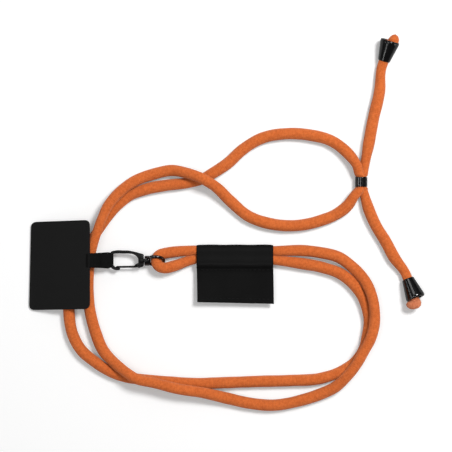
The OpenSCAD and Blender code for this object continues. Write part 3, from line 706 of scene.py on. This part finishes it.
def stitches(name, cad_node, y):
    """A row of short rounded threads that dip into the leatherette at both ends: one shell each."""
    pitch, half, radius, points = 0.003, 0.00115, 0.00024, 9
    count = int((2 * sleeve_half - pitch) / pitch)
    bend = np.linspace(-1, 1, points)
    row = []
    for centre in sleeve_middle + (np.arange(count) - (count - 1) / 2) * pitch:
        side = (centre - sleeve_middle) / sleeve_half
        share = max((seam_y - y) / (seam_y - low_y), 0)
        # Near the tunnel the front layer stands a little higher
        base = 2 * sleeve_thick + flap_lift(side, y) + (0.0003 if y > hem_y else 0)
        line = np.stack([centre + bend * half, np.full(points, y - flap_skew * share * side),
                         base + 0.0001 - 0.00032 * bend**4], axis=1)
        width = radius * np.sqrt(np.clip(1.02 - bend**6, 0, 1))
        row.append(shell(carried(line, width[:, None, None] * round_section(10)), length_step=0.0003))
    made = piece(name, thread, *row)
    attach(made, "sleeve")
    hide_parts(cad_node)
    return made


rows = [stitches("tunnel_seam", "sleeve_tunnel_stitches", seam_y - 0.0016),
        stitches("hem_seam", "sleeve_hem_stitches", hem_y)]
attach(sleeve, "sleeve")
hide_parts("sleeve_wrap")


# ------------------------ phone pad
# A slim flat pad that lies inside a phone case: two soft matte skins on a stiff nylon sheet.
# It slopes from the strand under its neck edge down to the table.

pad_mount = next(mount for mount in frame["record"]["mounts"] if mount["name"] == "pad_face")
pad_up = unit(np.array(pad_mount["axis"]))
pad_along = unit(np.array([-pad_up[0], -pad_up[1], 0]))
pad_side = np.cross((0, 0, 1), pad_along)
pad_along = np.cross(pad_side, pad_up)
pad_half = np.array([0.0219, 0.0306])
skin_thick = 0.0003
pad_thick = 0.0016
pad_bow = 0.0006


def pad_outline(corner_radius, corner_steps, points):
    """The pad's plan about its middle: not quite square, with round corners, as that many points."""
    corners = pad_half * [(-1, -1), (1, -1), (1, 1), (-1, 1)]
    corners += [(-0.0017, -0.0011), (-0.0006, 0), (-0.0001, -0.0002), (0.0003, -0.0013)]
    plan = rounded(corners, corner_radius, corner_steps)
    at = np.linspace(0, len(plan), points + 1)[:-1]
    whole = np.vstack([plan, plan[:1]])
    low = at.astype(int)
    return whole[low] + (whole[low + 1] - whole[low]) * (at - low)[:, None]


def slab(outline, profile):
    """A thin closed plate over the outline. The profile gives, from the middle of the bottom round the
    edge to the middle of the top, (share of the outline, inset in metres, height in metres)."""
    profile = np.array(profile)
    reach = np.abs(outline).max(0)
    flat = outline[None] * profile[:, None, :1] * (1 - profile[:, None, 1:2] / reach)
    bow = pad_bow * (1 - (flat[..., :1] / pad_half[0])**2) * (1 - 0.3 * (flat[..., 1:] / pad_half[1])**2)
    centre = np.array(pad_mount["pos_m"])
    lower_face = centre + flat[..., :1] * pad_along + flat[..., 1:] * pad_side - pad_thick * pad_up
    grid = lower_face + (profile[:, None, 2:] + np.maximum(bow, 0)) * pad_up
    # Where the slope would take its lower face below the table, it lies flat there instead
    grid[..., 2] += np.maximum(0.00005 - lower_face[..., 2], 0)
    return shell(grid)


def plate_profile(low, high, edge, inset):
    """A plate from low to high, with edges rounded by edge: many steps inwards, so that it can bow."""
    inwards = np.linspace(0.02, 0.98, 14)
    angle = np.linspace(-np.pi / 2, np.pi / 2, 7)
    bottom = [(share, inset + edge, low) for share in inwards]
    middle, half = (low + high) / 2, (high - low) / 2
    rim = [(1, inset + edge * (1 - np.cos(a)), middle + half * np.sin(a)) for a in angle]
    return bottom + rim + [(share, inset + edge, high) for share in inwards[::-1]]


pad_black = leatherette("pad_skin_black", grey(0.004), grey(0.0085),
                        roughness=0.72, grain_scale=2100, depth=0.00009, specular=0.15)
core_black, tree, shader = finish_of("nylon_core", {"Base Color": grey(0.018), "Specular IOR Level": 0.35})
grained = node(tree, "Group", {"Scale": 2600}, node_tree=grain)
level = node(tree, "MapRange", {"Value": grained.outputs["Patches"], "To Min": 0.42, "To Max": 0.62})
tree.links.new(level.outputs[0], shader.inputs["Roughness"])

plan = pad_outline(corner_radius=0.0042, corner_steps=9, points=240)
for name, cad_node, material, low, high, edge, inset, slot in (
    ("pad_lower_skin", "pad_bottom_skin", pad_black, 0, skin_thick, 0.00015, 0, "pad_skin"),
    ("pad_stiffener", "pad_core", core_black, skin_thick, pad_thick - skin_thick, 0.0001, 0.0002, "pad_core"),
    ("pad_upper_skin", "pad_top_skin", pad_black, pad_thick - skin_thick, pad_thick, 0.00025, 0, "pad_skin"),
):
    layer = piece(name, material, slab(plan, plate_profile(low, high, edge, inset)))
    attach(layer, "pad")
    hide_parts(cad_node)


# ------------------------ hook strap
# A short tab of thin coated webbing. Its two plies loop round the hook's strap bar and are sewn
# in between the pad's skins.

bar = np.array(joints["pad_swing"]["pos_m"])
bar_radius = 0.0012
strap_thick = 0.0005
loop_radius = bar_radius + strap_thick / 2
neck_edge = np.array(pad_mount["pos_m"]) + pad_along * pad_half[0] - pad_up * pad_thick / 2
strap_y = bar[1] + 0.0003
dip = np.array([neck_edge[0], strap_y, neck_edge[2]])
loop_centre = np.array([bar[0], strap_y, bar[2]])
rise = unit(loop_centre - dip)
lift = np.array([-rise[2], 0, rise[0]])


def ply(side):
    """One ply's middle line from inside the pad's edge to where the loop begins, above or below."""
    start = dip - pad_along * 0.006 + pad_up * side * strap_thick / 2
    points = np.array([
        start, dip + pad_up * side * strap_thick / 2 * 1.05,
        dip + rise * 0.004 + lift * side * 0.00032,
        dip + rise * 0.0105 + lift * side * 0.00045,
        loop_centre - rise * 0.0016 + lift * side * 0.00125,
        loop_centre + lift * side * loop_radius,
    ])
    return smooth_line(points, 0.0005)


around = np.linspace(np.pi / 2, -np.pi / 2, 15)[1:-1]
strap_loop = (loop_centre + loop_radius * np.cos(around)[:, None] * rise
              + loop_radius * np.sin(around)[:, None] * lift)
strap_line = np.vstack([ply(1), strap_loop, ply(-1)[::-1]])
from_bar = np.linalg.norm(strap_line[:, [0, 2]] - bar[[0, 2]], axis=1)
# It is gathered on the bar, widest just before it, and a little narrower again at the pad
before_bar = bar[0] - strap_line[:, 0]
strap_half = np.interp(before_bar, [-0.0005, 0.0006, 0.0020, 0.008, 0.0135, 0.02],
                       [0.0042, 0.0053, 0.0056, 0.0052, 0.0049, 0.0049])
strap_grid = band(strap_line, (0, 1, 0), strap_half, strap_thick, columns=41)
strap_grid[..., 2] += 0.00018 * np.sin(strap_grid[..., 0] * 900) * np.clip(from_bar / 0.004, 0, 1)[:, None]
webbing, tree, shader = finish_of("strap_webbing", {"Specular IOR Level": 0.08, "Roughness": 0.7})
place = node(tree, "TexCoord").outputs["Object"]
ribs = [node(tree, "TexWave", {"Vector": place, "Scale": 330, "Distortion": 0.4, "Detail Scale": 2},
             bands_direction=way).outputs["Fac"] for way in "XY"]
weave = maths(tree, "MULTIPLY", *ribs)
tree.links.new(blended(tree, weave, grey(0.0018), grey(0.0062)), shader.inputs["Base Color"])
bumped(tree, shader, 0.5, 0.00012, weave)
strap = piece("webbing_tab", webbing, shell(strap_grid))
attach(strap, "pad")
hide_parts("hook_strap")


# ------------------------ hook
# A small snap hook die cast in zinc and painted black: a C-shaped frame with the strap's bar,
# a boss for the swivel and a lug for the gate. The gate is a thin sprung bar.

hook_place = np.array(joints["swivel"]["pos_m"])
painted = marked("black_painted_zinc", (0.0012, 0.0012, 0.0013, 1), (0.0050, 0.0050, 0.0052, 1),
                 roughness=0.36, rougher=0.56, depth=0.00004, feeds={"Specular IOR Level": 0.22})


def squarish(power, sides=28):
    """A superellipse of half width and half height 1, as (across, up) pairs."""
    circle = round_section(sides)
    return np.sign(circle) * np.abs(circle)**(2 / power)


def domed(line, dome):
    """For each point of a line, the share of its full size that a bar with domed ends has there."""
    along = far_along(line)
    near_end = np.minimum(along, along[-1] - along)
    return np.sqrt(np.clip(1 - (1 - np.clip(near_end / dome, 0, 1))**2, 0.01, 1))


def in_hook(points):
    """Points (along the swivel's axis, across it) in the hook's own plane, as places over the table."""
    points = np.array(points)
    return hook_place + np.stack([points[:, 0], points[:, 1], np.zeros(len(points))], axis=1)


def between(rows, power=3.4, dome=0.0006):
    """A bar that fills the room between two outlines in the hook's plane. Each row gives a point of the
    inner outline, a point of the outer one and the bar's height there."""
    rows = np.array([(x, y, 0, u, v, high) for x, y, u, v, high in rows])
    rows = smooth_line(rows, 0.00022)
    inner, outer = in_hook(rows[:, :2]), in_hook(rows[:, 3:5])
    middle, half = (inner + outer) / 2, (outer - inner) / 2
    size = domed(middle, dome)[:, None, None]
    section = squarish(power)
    return shell(middle[:, None] + section[None, :, :1] * half[:, None] * size
                 + section[None, :, 1:] * np.array([0, 0, 0.5]) * rows[:, None, 5:] * size)


def plate(outline, low, high, edge):
    """A flat plate over a convex outline in the hook's plane, with rounded edges. The two rings next to
    each edge keep its faces flat."""
    flat = rounded(outline, 0.0007)
    middle = flat.mean(0)
    reach = np.linalg.norm(flat - middle, axis=1).mean()
    half = [(reach * 0.98, 0), (edge * 2, 0), (edge, 0), (edge * 0.3, edge * 0.3), (0, edge)]
    grid = []
    for inset, height in [(i, low + h) for i, h in half] + [(i, high - h) for i, h in half[::-1]]:
        spot = in_hook(middle + (flat - middle) * (1 - inset / reach))
        grid.append(spot + [0, 0, height])
    return shell(np.array(grid))


frame_body = between([
    (-0.0164, -0.0050, -0.0164, -0.0061, 0.0026), (-0.0180, -0.0049, -0.0180, -0.0066, 0.0029),
    (-0.0196, -0.0043, -0.0200, -0.0064, 0.0027), (-0.0208, -0.0033, -0.0222, -0.0054, 0.0022),
    (-0.02165, -0.0022, -0.0237, -0.0034, 0.0021), (-0.02165, 0.0006, -0.0238, 0.0006, 0.0021),
    (-0.0216, 0.0037, -0.0237, 0.0046, 0.0021), (-0.0209, 0.0047, -0.0224, 0.0064, 0.0022),
    (-0.0194, 0.0049, -0.0200, 0.0070, 0.0028), (-0.0145, 0.0049, -0.0145, 0.0071, 0.0030),
    (-0.0100, 0.0048, -0.0094, 0.0068, 0.0030), (-0.0075, 0.0044, -0.0058, 0.0060, 0.0030),
    (-0.0056, 0.0034, -0.0026, 0.0051, 0.0031), (-0.0043, 0.0019, -0.0003, 0.0041, 0.0034),
    (-0.0038, 0.0004, -0.0001, 0.0008, 0.0038), (-0.0039, -0.0009, -0.0001, -0.0014, 0.0037),
    (-0.0039, -0.0018, -0.0002, -0.0027, 0.0034),
])
boss_outline = rounded([(0.00125, -0.0036), (0.0022, -0.0036), (0.0026, -0.0028), (0.0026, -0.0001),
                        (0.00125, -0.0001)], [0.0002, 0.0004, 0.0004, 0.0003, 0.0002])
gate_pivot = np.array(joints["gate"]["pos_m"])
lug_plan = [(-0.0068, -0.0034), (-0.0052, -0.0021), (-0.0036, -0.0013), (-0.0003, -0.0013),
            (-0.0002, -0.0034), (-0.0012, -0.0045), (-0.0064, -0.0046)]
lug_inside, lug_outside, lug_edge = 0.00107, 0.0018, 0.0003
hook = piece("hook_frame_body", painted, frame_body, turned(boss_outline, hook_place, (1, 0, 0), sides=56),
             plate(lug_plan, lug_inside, lug_outside, lug_edge),
             plate(lug_plan, -lug_outside, -lug_inside, lug_edge))
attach(hook, "hook")
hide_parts("hook_frame")

gate_line = smooth_line(in_hook([(-0.0048, -0.0040), (-0.0068, -0.00412), (-0.0120, -0.0042),
                                 (-0.0187, -0.0043), (-0.0193, -0.0043)]), 0.0003)
gate_half = np.array([0.00070, 0.00095]) * domed(gate_line, 0.0005)[:, None, None]
barrel_outline = rounded([(0.00065, -0.00095), (0.0013, -0.00095), (0.0013, 0.0002), (0.00065, 0.0002)],
                         0.00015)
gate = piece("sprung_gate", painted, shell(carried(gate_line, squarish(2.6) * gate_half)),
             turned(barrel_outline, gate_pivot, (0, 0, 1), sides=40))
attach(gate, "gate")
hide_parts("hook_gate")

steel = marked("drawn_steel", (0.42, 0.43, 0.44, 1), (0.20, 0.20, 0.21, 1),
               roughness=0.28, rougher=0.5, depth=0.00003, feeds={"Metallic": 1.0})


def keep_plain(cad_node, finish):
    """Leaves a small solid its plain shape, and gives it a finish."""
    materials = frame["nodes"][cad_node].data.materials
    materials.clear()
    materials.append(finish)


keep_plain("gate_pin", painted)
keep_plain("gate_spring", steel)


# ------------------------ swivel
# The stud turns in the hook's boss on a washer. Its outer end is a moulded eye: a round base with
# a leaning ring that the rope's bight runs through.

keep_plain("swivel_washer", steel)
keep_plain("swivel_stud", painted)

eye_normal = np.array(joints["hook_lift"]["axis"])
rod_radius = 0.0011
# The base's outline stops a hair short of its axis
on_axis, sharp = 0.0000001, 0.00000002
base_outline = rounded([(on_axis, 0.0004), (0.0034, 0.0004), (0.0034, 0.0036), (0.0026, 0.0044),
                        (on_axis, 0.0044)], [sharp, 0.0004, 0.0006, 0.0006, sharp])
# The eye's rod leaves one side of the base, runs over the rope, and comes back under it
loop_side = unit(np.cross(eye_normal, (1, 0, 0)))
loop_half = [(0.0018, 0.0018), (0.0030, 0.0033), (0.0048, 0.0046), (0.0066, 0.0052), (0.0086, 0.0053),
             (0.0108, 0.0047), (0.0126, 0.0032)]
loop_plan = loop_half + [(0.0136, 0)] + [(x, -y) for x, y in loop_half[::-1]]
loop_line = smooth_line(np.array([(x, y, 0) for x, y in loop_plan]), 0.0004)
loop_line = hook_place + loop_line[:, :1] * [1, 0, 0] + loop_line[:, 1:2] * loop_side
eye = piece("swivel_loop", gloss_black, turned(base_outline, hook_place, (1, 0, 0), sides=64),
            shell(carried(loop_line, rod_radius * round_section(24), up=eye_normal)))
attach(eye, "eye")
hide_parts("swivel_eye")
